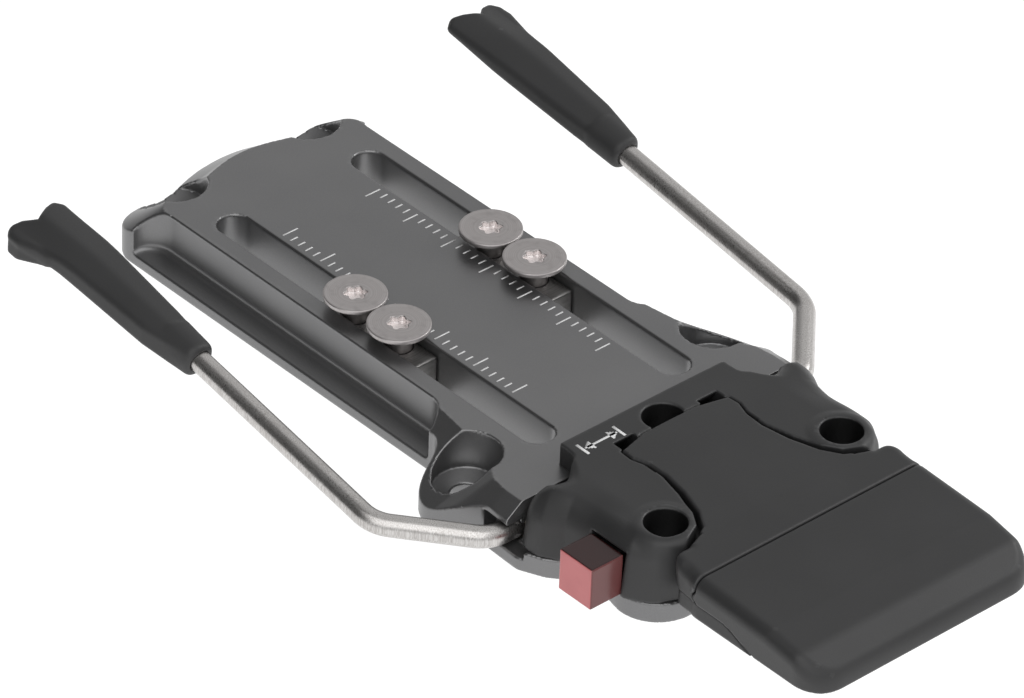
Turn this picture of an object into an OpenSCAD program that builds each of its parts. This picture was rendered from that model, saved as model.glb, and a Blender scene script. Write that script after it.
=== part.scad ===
// Adjustment plate with a ski brake, for the heel of a touring binding.
// Millimetres. +X points to the ski's tip, +Z is up, Y = 0 is the plane of symmetry.
// The origin is on the underside, midway between the four clamp screws.

/* [Base plate] */
// Height of the plate's top face
plate_h = 11; // [10.6:0.2:12]
// Half width of the plate's top face
top_half_w = 22.5; // [22.2:0.1:23]
// Half width of the flange along the sides
flange_half_w = 27; // [26:0.5:28]
// Height of the ledge along each side
ledge_h = 2.6; // [2:0.1:3]
// Height of the thin front flange under the housing
front_h = 3.8; // [3.4:0.1:4]
// Distance of the ears' screw holes from the middle plane
ear_y = 28.2; // [27.5:0.1:28.5]
// Distance of the rear screw holes from the middle plane
rear_hole_y = 15.4; // [15:0.1:16]
// Distance of the front screw holes from the middle plane
front_hole_y = 20.1; // [19.9:0.1:20.3]

/* [Slots and clamps] */
// Width of a slot at the top face
slot_w = 6.3; // [6.2:0.1:6.8]
// Distance of the slots from the middle plane
slot_y = 15.55; // [15:0.05:16]
// Distance between the two screws of a clamp
clamp_pitch = 11.4; // [11.4:0.1:12]
// Travel of a clamp to either side of the middle
clamp_travel = 25; // [10:1:25]
// Diameter of a clamp screw's head
clamp_head_d = 11.3; // [10:0.1:11.3]
// Diameter of a clamp screw's thread
clamp_thread_d = 5; // [4:1:5]

/* [Brake] */
// Diameter of the arm wire
wire_d = 4; // [3.8:0.1:4]
// Distance of the arms from the middle plane, beside the ski
arm_y = 49.6; // [48:0.2:52]
// Upward slope of the stowed arms
arm_slope = 9.56; // [6:0.02:12]
// Height of the brake's axis
axis_z = 4.9; // [4.9:0.1:5]
// Half width of the pedal
pedal_half_w = 25.3; // [24:0.1:26]
// Height of the pedal's top at the tongue
pedal_top = 15.5; // [15.3:0.1:16]

/* [Hidden] */
$fn = 64;
eps = 0.01;
gap = 0.1;

// stations along the plate
rear_x = -58.5;          // rear edge of the flange
top_rear_x = -51;        // rear edge of the top face
ear_x = 37.8;
rear_hole_x = -54.6;
front_hole_x = 77.8;
mid_hole_x = 55.5;
axis_x = 52.36;
front_x = 83.6;
slot_rear_x = -37.8;     // centres of the slots' round ends
slot_front_x = 41.1;
counterbore_r = 6;
ear_seat_z = 2.4;         // seats of the ski screws' heads
rear_seat_z = 4.8;
slope = 36.5;             // fall of the sloped faces
ear_edge_angle = 19.4;    // top edge beside the ear, seen from above
screw_hole_r = 2.8;
cap_hole_r = 3.75;       // openings over the three front screws

// T-shaped slot and its nut bar
tee_w = 10.4;
tee_h = 2.8;
bar_len = 24.9;
bar_w = slot_w - 0.3;
bar_top = plate_h - 1.8;
head_top = plate_h + 3.1;

// housing and pedal
housing_top = 15.3;
hub_r = 3.9;
hub_in = 7.5;            // the carrier's hubs run from hub_in to hub_out
hub_out = 11.5;
cavity_r = 4.2;
bush_in = 21;
bush_out = 29;
bush_r = 3;
nose_r = 11.1;           // inner radius of the tongue's lip about the axis
lip_r = 11.9;            // the same beside the lip's middle
wing_r = 32.9;           // rear face of the pedal's wings about the axis
seam_x = 91.4;
pedal_front_x = 121.5;
tongue_floor = 12.3;
carrier_half_w = 10.5;
carrier_w = 25.1;
skirt_x = 104;
pedal_screw_x = [88, 108];

// lock
bolt_x = 71.35;
bolt_w = 4.4;
bolt_z = 6;
bolt_h = 4;
bolt_tip_y = -12;
pad_y = -17;
button_x = 72.75;
button_w = 7.9;
button_out_y = -35.4;
button_in_y = -28.9;
button_z = 3.9;
button_h = 8.2;
lock_travel = 4.5;
post_z = 5.1;
post_top = 11;

// arm: corner points of the left wire
arm_tail_x = -40;
bend_r = 7;
elbow_x = 38.4;
elbow_z = axis_z + 1.53;
arm_root = [axis_x, -6.8, axis_z];
arm_corner = [axis_x, -(arm_y - 13.7), axis_z];
arm_elbow = [elbow_x, -arm_y, elbow_z];
arm_tail = [arm_tail_x, -arm_y + 0.9, elbow_z + (elbow_x - arm_tail_x)*tan(arm_slope)];
collar_t = 0.585;        // share of the straight arm that stays bare
paddle_len = 45.5;
paddle_h = 5.6;

plastic = "#38383a";
anodised = "#68686a";
steel = "#b4b0ac";

function unit(v) = v/norm(v);

module mirror_pair() {
  children();
  mirror([0, 1, 0]) children();
}

module rounded(r) offset(r = r) offset(delta = -r) children();
module filleted(r) offset(r = -r) offset(delta = r) children();

module stadium(x0, x1, w) {
  translate([x0, -w/2]) square([x1 - x0, w]);
  translate([x0, 0]) circle(d = w);
  translate([x1, 0]) circle(d = w);
}

// ---- base plate -------------------------------------------------------------

module flange_2d() {
  rounded(3) filleted(5) {
    translate([rear_x, -flange_half_w]) square([104, 2*flange_half_w]);
    translate([rear_x + 15.3, 0]) circle(16.8);
    mirror_pair() {
      translate([ear_x, ear_y]) circle(8);
      polygon([[ear_x, 0], [ear_x, ear_y + 7.6], [49, 34.6], [57, 33.2], [60.5, 31.6],
               [63.5, 28.6], [67, 27.4], [79.5, 26.6], [front_x, 24.5], [front_x, 0]]);
    }
  }
}

module top_2d() {
  difference() {
    filleted(4) {
      rounded(3) translate([top_rear_x, -top_half_w]) square([102, 2*top_half_w]);
      translate([top_rear_x + 13, 0]) circle(16.8);
      mirror_pair() polygon([[25, 0], [25, top_half_w], [33, 24.4], [44, 28], [47, 29.8],
                             [50, 30.4], [58, 30.4], [58, 0]]);
    }
    offset(delta = gap) housing_2d();
    translate([56, -40]) square(80);
  }
}

// cut that leaves the ledge along the side
module side_cut()
  translate([0, flange_half_w, ledge_h]) linear_extrude(20)
    stadium(-46, 22, 2*(flange_half_w - top_half_w));

// everything above the sloped faces at the rear end and round the ears
module above_slopes() {
  translate([top_rear_x, -60, plate_h]) rotate([0, -slope, 0]) translate([-60, 0, 0]) cube([60, 120, 30]);
  mirror_pair() {
    translate([-70, top_half_w, plate_h]) rotate([-slope, 0, 0]) cube([98, 60, 30]);
    translate([33, 24.4, plate_h]) rotate([0, 0, ear_edge_angle]) rotate([-slope, 0, 0])
      translate([-5.3, 0, 0]) cube([60, 60, 30]);
  }
}

module base_plate() color(anodised)
  difference() {
    union() {
      linear_extrude(front_h) flange_2d();
      difference() {
        linear_extrude(plate_h) flange_2d();
        above_slopes();
        translate([54, -60, front_h]) cube([60, 120, 20]);
        translate([0, 0, front_h]) linear_extrude(20) offset(delta = gap) housing_2d();
      }
      linear_extrude(plate_h) top_2d();
    }
    mirror_pair() {
      side_cut();
      // clearance for the arm where it leaves the plate
      translate([48.2, 30.6, 2.5]) cube([9.7, 12, 4.9]);
      translate([54, 30.6, 2.5]) cube([3.9, 12, 10]);
      translate([axis_x, 33, axis_z]) rotate([90, 0, 0]) cylinder(r = cavity_r - 1.8, h = 4);
      // slot and the wider groove under it
      translate([0, slot_y, -1]) linear_extrude(plate_h + 2) stadium(slot_rear_x, slot_front_x, slot_w);
      translate([0, slot_y, -1]) linear_extrude(tee_h + 1) stadium(slot_rear_x, slot_front_x, tee_w);
      // screw holes
      for (p = [[ear_x, ear_y, ear_seat_z], [rear_hole_x, rear_hole_y, rear_seat_z]])
        translate([p[0], p[1], 0]) {
          translate([0, 0, p[2]]) cylinder(r = counterbore_r, h = 20);
          translate([0, 0, -1]) cylinder(r = screw_hole_r, h = 8);
        }
      translate([front_hole_x, front_hole_y, -1]) cylinder(r = screw_hole_r, h = 8);
      // seat of the arm's bush, and the room for hub and spring
      translate([axis_x, bush_out, axis_z]) rotate([90, 0, 0]) cylinder(r = bush_r, h = 8.5);
      translate([axis_x, 34, axis_z]) rotate([90, 0, 0]) cylinder(r = wire_d/2 + 0.4, h = 13.9);
      translate([axis_x, 20.2, axis_z]) rotate([90, 0, 0]) cylinder(r = cavity_r, h = 13.6);
      translate([axis_x - cavity_r, 6.6, axis_z]) cube([2*cavity_r, 13.6, 2.5]);
      // carrier's web ahead of the hub
      translate([axis_x, hub_in - 0.4, 2.6]) cube([16, hub_out - hub_in + 0.8, 6]);
      for (p = housing_screw_points) translate([p[0], p[1], 0]) {
        translate([0, 0, -1]) cylinder(r = 1.6, h = 8);
        translate([0, 0, -eps]) cylinder(r1 = 3, r2 = 1.6, h = 1.5);
      }
      translate([79, 6, 3]) cylinder(r = 3.05, h = 4);
    }
    translate([mid_hole_x, 0, -1]) cylinder(r = screw_hole_r, h = 8);
  }

// ---- brake housing ----------------------------------------------------------

housing_screw_points = [[59, 17], [64.5, 24.3]];

module housing_2d() {
  difference() {
    rounded(2) filleted(2) {
      translate([50, -19]) square([33.4, 38]);
      translate([54.4, -28.2]) square([29, 56.4]);
      translate([54.4, -32.4]) square([5.6, 64.8]);
    }
    mirror_pair() translate([51.3, 23.4]) circle(4.3);
  }
}

// outline of the tongue, widened by d
module tongue_2d(d = 0) {
  offset(delta = d) {
    mirror_pair() polygon([[56.4, 0], [56.9, 6], [58.4, 12.1], [61, 12.3], [64, 11.3], [68, 11.1],
                           [73.5, 12], [79, 13.8], [82.4, 16], [84.6, 20.5], [90, 20.5], [90, 0]]);
  }
}

module housing_top_cuts() {
  // pocket of the tongue, and below it the room for the carrier
  translate([0, 0, tongue_floor - 0.4]) linear_extrude(10) difference() {
    tongue_2d(1);
    translate([50, -20]) square([5.9, 40]);
  }
  translate([58.5, -carrier_half_w - 0.6, 0]) cube([40, 2*carrier_half_w + 1.2, 20]);
  // round rear wall of the pocket, swept by the lip
  difference() {
    translate([axis_x, -11.4, 0]) cube([10, 22.8, 20]);
    translate([axis_x, 12, axis_z]) rotate([90, 0, 0]) cylinder(r = nose_r - 0.25, h = 24);
  }
}

module brake_housing() color(plastic)
  difference() {
    union() {
      translate([0, 0, front_h + 0.02]) linear_extrude(8.2) housing_2d();
      linear_extrude(housing_top) intersection() {
        offset(delta = -1.6) housing_2d();
        translate([51, -29.5]) square([32, 59]);
      }
      mirror_pair() translate([front_hole_x, front_hole_y, front_h + 1]) cylinder(r = 5.5, h = housing_top - front_h - 1);
    }
    translate([0, 0, -1]) linear_extrude(front_h + 1.02) square(300, center = true);
    housing_top_cuts();
    mirror_pair() {
      translate([axis_x, 20.2, axis_z]) rotate([90, 0, 0]) cylinder(r = cavity_r, h = 13.6);
      translate([axis_x, 34, axis_z]) rotate([90, 0, 0]) cylinder(r = cavity_r - 1.8, h = 20);
      translate([axis_x, bush_out + 0.2, axis_z]) rotate([90, 0, 0]) cylinder(r = bush_r + 0.1, h = 10);
      // the arm leaves at the side
      translate([50, 30.2, 3]) cube([4.9, 6, 5]);
      // slot for the hub and its web over the whole travel
      translate([axis_x, hub_out + 0.3, axis_z]) rotate([90, 0, 0]) linear_extrude(hub_out - hub_in + 0.6)
        polygon([[-4.2, -3], [-2.4, 1.5], [3.4, 10.6], [14, 10.6], [14, -3]]);
      translate([front_hole_x, front_hole_y, 7]) cylinder(r = cap_hole_r, h = 12);
      translate([front_hole_x, front_hole_y, 1]) cylinder(r = screw_hole_r, h = 12);
      for (p = housing_screw_points) translate([p[0], p[1], 0]) cylinder(r = 1.35, h = 10.5);
    }
    translate([mid_hole_x, 0, 7]) cylinder(r = cap_hole_r, h = 12);
    translate([mid_hole_x, 0, 1]) cylinder(r = screw_hole_r, h = 12);
    // room for the base's rear wall around the wings
    lock_room();
  }

// channel of the bolt, recess of the button and bore of the detent
module lock_room() {
  translate([bolt_x - bolt_w/2 - 0.1, -34, bolt_z - 0.1]) cube([bolt_w + 0.2, 34, bolt_h + 0.2]);
  translate([button_x - button_w/2 - 0.2, -34, 3]) cube([button_w + 0.4, 34 - 23.7, button_z + button_h - 2.8]);
  translate([bolt_x, pad_y, bolt_z + bolt_h]) cylinder(r = 1.3, h = 4.2);
}

module housing_screws() color(steel)
  mirror_pair() for (p = housing_screw_points) translate([p[0], p[1], 0.1]) {
    cylinder(r = 1.32, h = 9);
    difference() {
      cylinder(r1 = 2.8, r2 = 1.32, h = 1.5);
      translate([0, 0, -eps]) cylinder(r = 1, h = 0.9, $fn = 6);
    }
  }

module pedal_buffers() color("#202020")
  mirror_pair() translate([79, 6, 3.02]) {
    cylinder(r = 3, h = 1.6);
    translate([0, 0, 1.6]) cylinder(r1 = 3, r2 = 2.2, h = 0.8);
  }

module arm_bush_right() color("#d8d4c8")
  translate([axis_x, -bush_in, axis_z]) rotate([90, 0, 0]) difference() {
    cylinder(r = bush_r - 0.01, h = bush_out - bush_in - 0.05);
    translate([0, 0, -1]) cylinder(r = wire_d/2 + 0.04, h = 12);
  }
module arm_bush_left() mirror([0, 1, 0]) arm_bush_right();

// wire of radius r wound about the Y axis
module coil(turns, mean_r, r, pitch, steps, sides) {
  rings = turns*steps;
  points = [for (i = [0:rings]) let (a = 360*i/steps, y = pitch*i/steps)
            for (k = [0:sides - 1]) let (b = 360*k/sides, q = mean_r + r*cos(b))
            [q*cos(a), y + r*sin(b), q*sin(a)]];
  walls = [for (i = [0:rings - 1]) for (k = [0:sides - 1]) let (n = (k + 1) % sides)
           [i*sides + k, i*sides + n, (i + 1)*sides + n, (i + 1)*sides + k]];
  ends = [[for (k = [sides - 1:-1:0]) k], [for (k = [0:sides - 1]) rings*sides + k]];
  polyhedron(points, concat(walls, ends));
}

module torsion_spring_right() color(steel)
  mirror([0, 1, 0]) torsion_spring_left();
module torsion_spring_left() color(steel)
  translate([axis_x, 13, axis_z])
    coil(turns = 4, mean_r = 3.25, r = 0.5, pitch = 1.45, steps = 18, sides = 8);

module lock_friction_pad() color("#c8c4b4")
  translate([bolt_x, pad_y, bolt_z + bolt_h + 0.03]) cylinder(r = 1.25, h = 1.4);
module lock_pad_spring() color(steel)
  translate([bolt_x, pad_y, bolt_z + bolt_h + 1.72]) rotate([-90, 0, 0]) mirror([0, 1, 0])
    coil(turns = 3, mean_r = 0.85, r = 0.18, pitch = 0.7, steps = 12, sides = 6);

// ---- arms and paddles -------------------------------------------------------

module rod(a, b, r = wire_d/2) {
  u = unit(b - a);
  translate(a) rotate([0, acos(u[2]), atan2(u[1], u[0])]) cylinder(r = r, h = norm(b - a));
}

function bend_angle(a, b, c) = acos(unit(b - a)*unit(c - b));
function bend_inset(a, b, c) = bend_r*tan(bend_angle(a, b, c)/2);

// round corner at b between the legs a-b and b-c
module elbow(a, b, c, r = wire_d/2 + 0.02) {
  u = unit(b - a);
  w = unit(c - b);
  n = unit(w - u*(u*w));
  k = cross(-n, u);
  o = b - u*bend_inset(a, b, c) + n*bend_r;
  multmatrix([[-n[0], u[0], k[0], o[0]], [-n[1], u[1], k[1], o[1]], [-n[2], u[2], k[2], o[2]], [0, 0, 0, 1]])
    rotate_extrude(angle = bend_angle(a, b, c)) translate([bend_r, 0]) circle(r);
}

module arm_right() color(steel) difference() {
  union() {
    u = unit(arm_corner - arm_root);
    v = unit(arm_elbow - arm_corner);
    w = unit(arm_tail - arm_elbow);
    t1 = bend_inset(arm_root, arm_corner, arm_elbow) - 0.2;
    t2 = bend_inset(arm_corner, arm_elbow, arm_tail) - 0.2;
    rod(arm_root, arm_corner - t1*u);
    elbow(arm_root, arm_corner, arm_elbow);
    rod(arm_corner + t1*v, arm_elbow - t2*v);
    elbow(arm_corner, arm_elbow, arm_tail);
    rod(arm_elbow + t2*w, arm_tail);
  }
  hub_pin_hole();
}
module arm_left() mirror([0, 1, 0]) arm_right();

// frame at the paddle's neck: +X runs along the arm to the tip, +Z is up
module at_collar() {
  d = unit(arm_tail - arm_elbow);
  p = arm_elbow + collar_t*(arm_tail - arm_elbow);
  s = unit(cross([0, 0, 1], d));
  z = cross(d, s);
  multmatrix([[d[0], s[0], z[0], p[0]], [d[1], s[1], z[1], p[1]], [d[2], s[2], z[2], p[2]], [0, 0, 0, 1]])
    children();
}

// plan of a paddle; +Y is the outer side
module paddle_2d() rounded(0.9)
  polygon([[0, -3], [0, 3], [9, 5.3], [31, 6.3], [36, 7.1], [39.5, 8.3], [42.6, 8.2], [44.6, 6.8],
           [44.4, 4.4], [43, 2.3], [44.2, -0.4], [44.6, -2.6], [43.4, -4.2], [31, -4.1], [10, -3.5]]);

// side view: the outer edge grows down into a claw towards the tip
module paddle_claw() intersection() {
  translate([0, 0, -6]) linear_extrude(9) paddle_2d();
  translate([0, 8.3, 0]) rotate([90, 0, 0]) linear_extrude(2.6)
    polygon([[20, 0], [20, -1.4], [36.5, -4.7], [39.8, -4.5], [44.6, 0.2], [44.6, 1.2], [36, 1.2]]);
}

module paddle_right() color(plastic) difference() {
  at_collar() {
    paddle_claw();
    intersection() {
      translate([0, 0, -paddle_h/2]) linear_extrude(paddle_h) paddle_2d();
      rotate([90, 0, 0]) linear_extrude(20, center = true)
        polygon([[0, -2.9], [0, 2.9], [30, 2.8], [paddle_len, 2], [paddle_len, -2.2], [30, -2.8]]);
      // thick over the wire, thin at both edges
      rotate([90, 0, 90]) linear_extrude(60)
        polygon([[-5, -1.2], [-5, 1.2], [-2.2, 2.8], [3.4, 2.8], [9, 0.8], [9, -1.4], [3.4, -2.8], [-2.2, -2.8]]);
    }
  }
  rod(arm_elbow, arm_tail + 0.05*unit(arm_tail - arm_elbow), wire_d/2 + 0.01);
}
module paddle_left() mirror([0, 1, 0]) paddle_right();

// ---- pedal ------------------------------------------------------------------

module pedal_2d(d = 0) offset(delta = d) {
  tongue_2d();
  difference() {
    rounded(6) translate([84, -pedal_half_w]) square([pedal_front_x - 84, 2*pedal_half_w]);
    mirror_pair() translate([83, 22]) square([2.2, 5]);
  }
}

// side view of the pedal's outer shape
module pedal_profile() rotate([90, 0, 0]) linear_extrude(80, center = true)
  polygon([[56, pedal_top], [84, pedal_top - 0.1], [seam_x, pedal_top - 1.2], [108, 13.7], [115, 12.4],
           [119.5, 9.8], [pedal_front_x, 7.2], [pedal_front_x - 1.2, 6], [56, 6]]);

module axis_cylinder(r, y0, y1) translate([axis_x, y1, axis_z]) rotate([90, 0, 0]) cylinder(r = r, h = y1 - y0);

module pedal_cover() color(plastic) difference() {
  intersection() {
    linear_extrude(30) pedal_2d();
    pedal_profile();
    translate([50, -40, 0]) cube([seam_x - 50.1, 80, 30]);
  }
  axis_cylinder(nose_r, -8, 8);
  mirror_pair() axis_cylinder(lip_r, 8 - eps, 30);
  mirror_pair() axis_cylinder(wing_r, 17.5, 30);
  translate([40, -40, 0]) cube([44.6, 80, tongue_floor]);
  // room for the carrier under the wings
  translate([80, -40, 0]) cube([20, 80, 9.15]);
  mirror_pair() translate([pedal_screw_x[0], 15, 0]) cylinder(r = 1.02, h = 12);
}

module pedal_pad() color(plastic) difference() {
  intersection() {
    linear_extrude(30) pedal_2d();
    pedal_profile();
    translate([seam_x + 0.05, -40, 0]) cube([60, 80, 30]);
  }
  translate([80, -40, 0]) cube([skirt_x - 80, 80, 9.15]);
  translate([80, -23.8, 0]) cube([39, 47.6, 9.15]);
  mirror_pair() translate([pedal_screw_x[1], 15, 0]) cylinder(r = 1.02, h = 11.5);
}

module pedal_carrier() color("#2c2c2e") difference() {
  union() {
    // plate under the cover and the pad
    translate([85.6, -carrier_w, 6.1]) cube([skirt_x - 85.7, 2*carrier_w, 3]);
    translate([skirt_x - 1, -23.7, 6.1]) cube([118.8 - skirt_x + 1, 47.4, 3]);
    // box between the housing's walls
    translate([64, -carrier_half_w, 5.6]) cube([20.4, 2*carrier_half_w, tongue_floor - 5.7]);
    translate([84, -carrier_half_w, 5.6]) cube([3, 2*carrier_half_w, 3.5]);
    // webs and hubs
    mirror_pair() {
      axis_cylinder(hub_r, hub_in, hub_out);
      translate([axis_x, hub_in, axis_z - 2]) cube([13, hub_out - hub_in, 4]);
    }
  }
  mirror_pair() {
    axis_cylinder(wire_d/2 + 0.01, 5, 13);
    for (x = pedal_screw_x) translate([x, 15, 0]) {
      cylinder(r = 1.3, h = 12);
      translate([0, 0, 5]) cylinder(r = 2.3, h = 2.6);
    }
  }
  hub_pin_hole();
  // hollow of the box, open to below
  translate([66, -8, 0]) cube([9.2, 16, 10.3]);
  // hole that the lock bolt enters
  translate([bolt_x - bolt_w/2 - 0.25, -12, bolt_z - 0.25]) cube([bolt_w + 0.5, 6, bolt_h + 0.5]);
}

module hub_pin_hole() mirror_pair()
  translate([axis_x, (hub_in + hub_out)/2, 0]) cylinder(r = 0.76, h = 12);

module hub_pins() color(steel)
  mirror_pair() translate([axis_x, (hub_in + hub_out)/2, axis_z - 3.7]) cylinder(r = 0.75, h = 7.4);

module pedal_screws() color(steel)
  mirror_pair() for (x = pedal_screw_x) translate([x, 15, 6.3]) {
    cylinder(r = 1, h = 4.6);
    difference() {
      cylinder(r = 2, h = 1.2);
      translate([0, 0, -eps]) cylinder(r = 0.9, h = 0.8, $fn = 6);
    }
  }

// ---- walk-mode lock ---------------------------------------------------------

module lock_bolt() color("#2c2c2e") difference() {
  union() {
    translate([bolt_x - bolt_w/2, button_in_y + 0.02, bolt_z]) cube([bolt_w, bolt_tip_y - button_in_y - 0.02, bolt_h]);
    // post that stands in the button
    translate([0, 0, post_z]) linear_extrude(post_top - post_z) post_2d();
  }
  lock_pin_hole();
}

module post_2d(d = 0) offset(delta = d) {
  translate([button_x, button_in_y - 2.5]) circle(2.75);
  translate([button_x - 2.75, button_in_y - 2.5]) square([5.5, 3]);
}

module lock_pin_hole() translate([button_x, button_in_y - 2.5, 0]) cylinder(r = 0.51, h = 20);

module lock_button() color("#c07a7c") difference() {
  translate([button_x - button_w/2, button_out_y, button_z])
    cube([button_w, button_in_y - button_out_y, button_h]);
  translate([0, 0, post_z - 0.05]) linear_extrude(10) {
    post_2d(0.05);
    translate([button_x - 2.8, button_in_y - 1]) square([5.6, 2]);
  }
  lock_pin_hole();
}

module lock_pin() color(steel)
  translate([button_x, button_in_y - 2.5, button_z + 0.1]) cylinder(r = 0.5, h = post_top - button_z - 0.6);

// ---- clamps -----------------------------------------------------------------

module nut_bar_right() color(steel)
  translate([0, -slot_y, 0]) difference() {
    union() {
      translate([-bar_len/2, -bar_w/2, 0.3]) cube([bar_len, bar_w, bar_top - 0.3]);
      translate([-bar_len/2, -tee_w/2 + 0.3, 0.3]) cube([bar_len, tee_w - 0.6, tee_h - 0.5]);
    }
    for (s = [-1, 1]) translate([s*clamp_pitch/2, 0, -1]) cylinder(d = clamp_thread_d + 0.04, h = 20);
  }
module nut_bar_left() mirror([0, 1, 0]) nut_bar_right();

module clamp_screw() {
  head_r = clamp_head_d/2;
  difference() {
    union() {
      translate([0, 0, 0.8]) cylinder(d = clamp_thread_d, h = head_top - 2);
      translate([0, 0, head_top - 0.9]) cylinder(r = head_r, h = 0.7);
      translate([0, 0, head_top - 0.2]) cylinder(r1 = head_r, r2 = head_r - 0.3, h = 0.2);
      translate([0, 0, head_top - 1.6]) cylinder(r1 = clamp_thread_d/2, r2 = head_r - 1.6, h = 0.7);
    }
    translate([0, 0, head_top - 1.7]) {
      cylinder(r = 1.3, h = 3);
      for (i = [0:5]) rotate(60*i) translate([1.3, 0, 0]) cylinder(r = 0.42, h = 3, $fn = 24);
    }
  }
}

module clamp_screws_right() color(steel)
  for (s = [-1, 1]) translate([s*clamp_pitch/2, -slot_y, 0]) clamp_screw();
module clamp_screws_left() mirror([0, 1, 0]) clamp_screws_right();

base_plate();
brake_housing();
arm_bush_left();
arm_bush_right();
torsion_spring_left();
torsion_spring_right();
housing_screws();
pedal_buffers();
lock_friction_pad();
lock_pad_spring();
arm_left();
arm_right();
paddle_left();
paddle_right();
pedal_carrier();
pedal_cover();
pedal_pad();
hub_pins();
pedal_screws();
lock_bolt();
lock_button();
lock_pin();
nut_bar_left();
nut_bar_right();
clamp_screws_left();
clamp_screws_right();
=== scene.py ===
# %% [markdown]
# # Adjustment plate and ski brake of a touring binding
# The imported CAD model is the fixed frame: it says where every piece is and how it moves. This lesson
# gives that frame its looks. Most pieces here are milled or moulded, with soft edges everywhere, so they are
# made as distance fields: a short formula says how far a point is from the surface, and a mesh is drawn
# where that distance is zero. Rounded edges and fillets then come for free, and each mesh is closed.

# %% The frame
import math
import bpy
import numpy as np
from mathutils import Matrix, Vector


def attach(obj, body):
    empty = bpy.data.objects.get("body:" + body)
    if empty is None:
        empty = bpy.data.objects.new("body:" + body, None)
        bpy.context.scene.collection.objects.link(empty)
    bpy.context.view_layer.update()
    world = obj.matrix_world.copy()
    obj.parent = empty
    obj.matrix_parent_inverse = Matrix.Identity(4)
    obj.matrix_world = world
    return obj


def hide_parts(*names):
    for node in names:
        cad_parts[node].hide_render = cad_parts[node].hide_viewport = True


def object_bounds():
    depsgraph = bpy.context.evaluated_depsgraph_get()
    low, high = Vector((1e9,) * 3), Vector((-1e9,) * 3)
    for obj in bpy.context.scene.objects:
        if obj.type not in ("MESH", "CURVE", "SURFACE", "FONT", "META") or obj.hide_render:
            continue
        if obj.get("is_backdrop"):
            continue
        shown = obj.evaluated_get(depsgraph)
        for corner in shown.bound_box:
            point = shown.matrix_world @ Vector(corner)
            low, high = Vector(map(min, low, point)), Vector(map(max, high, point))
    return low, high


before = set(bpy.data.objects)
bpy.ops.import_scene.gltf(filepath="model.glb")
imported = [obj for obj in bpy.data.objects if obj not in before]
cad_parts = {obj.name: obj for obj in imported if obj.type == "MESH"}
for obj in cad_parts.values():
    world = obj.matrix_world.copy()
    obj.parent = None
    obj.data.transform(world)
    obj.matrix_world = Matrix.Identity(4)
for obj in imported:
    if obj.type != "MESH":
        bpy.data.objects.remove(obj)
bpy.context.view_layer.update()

MM = 0.001

# %% [markdown]
# ## Camera
# The view is a long-lens product shot from the right, ahead of the plate and above it. With a long lens
# the far end looks nearly as large as the near end. A camera far away with a 273 mm lens gives that. It's
# turned a little about its own axis, and stands a little aside, so that the whole object fits the frame.

# %% Camera
AZIMUTH, ELEVATION, ROLL = (math.radians(a) for a in (-43.006, 35.686, 2.14))
DISTANCE, LENS = 1.338, 272.86
AIM = Vector((0, 0, 0.0141))
back = Vector((math.cos(AZIMUTH) * math.cos(ELEVATION), math.sin(AZIMUTH) * math.cos(ELEVATION),
               math.sin(ELEVATION)))
right = Vector((-math.sin(AZIMUTH), math.cos(AZIMUTH), 0))
above = back.cross(right)
turned_right = right * math.cos(ROLL) + above * math.sin(ROLL)
turned_above = above * math.cos(ROLL) - right * math.sin(ROLL)
place = (turned_right * 8.584e-3 - turned_above * 9.634e-3 + back) * DISTANCE + AIM
camera = bpy.data.objects.new("camera", bpy.data.cameras.new("camera"))
bpy.context.scene.collection.objects.link(camera)
turn = Matrix((turned_right, turned_above, back)).transposed().to_4x4()
camera.matrix_world = Matrix.Translation(place) @ turn
camera.data.sensor_width = 36
camera.data.lens = LENS
camera.data.clip_end = 20
bpy.context.scene.camera = camera
print("camera stands at, m:", [round(v, 3) for v in place])

# %% [markdown]
# ## Distance fields
# A field takes coordinates in millimetres and gives the distance to a surface, negative inside. Two fields
# meet in a sharp edge if the larger is taken. `both` rounds that edge with a radius, as a cutter or a
# mould's polish does; `either` joins two shapes with a fillet, and `without` cuts one out of another.

# %% Joining and cutting fields
def both(a, b, radius=0.0):
    if np.all(np.asarray(radius) <= 0):
        return np.maximum(a, b)
    past = np.sqrt(np.maximum(a + radius, 0) ** 2 + np.maximum(b + radius, 0) ** 2)
    return past + np.minimum(np.maximum(a, b), -radius)

def either(a, b, radius=0.0):
    return -both(-a, -b, radius)

def without(a, b, radius=0.0):
    return both(a, -b, radius)

# %% [markdown]
# Plans are drawn as they are on a drawing: discs, round-ended slots and closed outlines with straight
# sides. An outline's corners are rounded by drawing it smaller and letting the field grow it back.

# %% Plans
def disc(x, y, cx, cy, radius):
    return np.hypot(x - cx, y - cy) - radius

def long_hole(x, y, x0, x1, cy, width):
    return np.hypot(x - np.clip(x, x0, x1), y - cy) - width / 2

def between(v, low, high):
    return np.maximum(low - v, v - high)

def outline(x, y, corners, grow=0.0):
    corners = np.asarray(corners, dtype=np.float64)
    nearest = np.inf
    inside = np.zeros(np.broadcast(x, y).shape, dtype=bool)
    for (x0, y0), (x1, y1) in zip(corners, np.roll(corners, -1, axis=0)):
        ex, ey = x1 - x0, y1 - y0
        share = np.clip(((x - x0) * ex + (y - y0) * ey) / (ex * ex + ey * ey), 0, 1)
        nearest = np.minimum(nearest, (x - x0 - ex * share) ** 2 + (y - y0 - ey * share) ** 2)
        if ey:
            inside ^= ((y0 > y) != (y1 > y)) & (x < ex * (y - y0) / ey + x0)
    return np.where(inside, -1.0, 1.0) * np.sqrt(nearest) - grow

def ramp(v, start, end):
    t = np.clip((v - start) / (end - start), 0, 1)
    return t * t * (3 - 2 * t)

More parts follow.
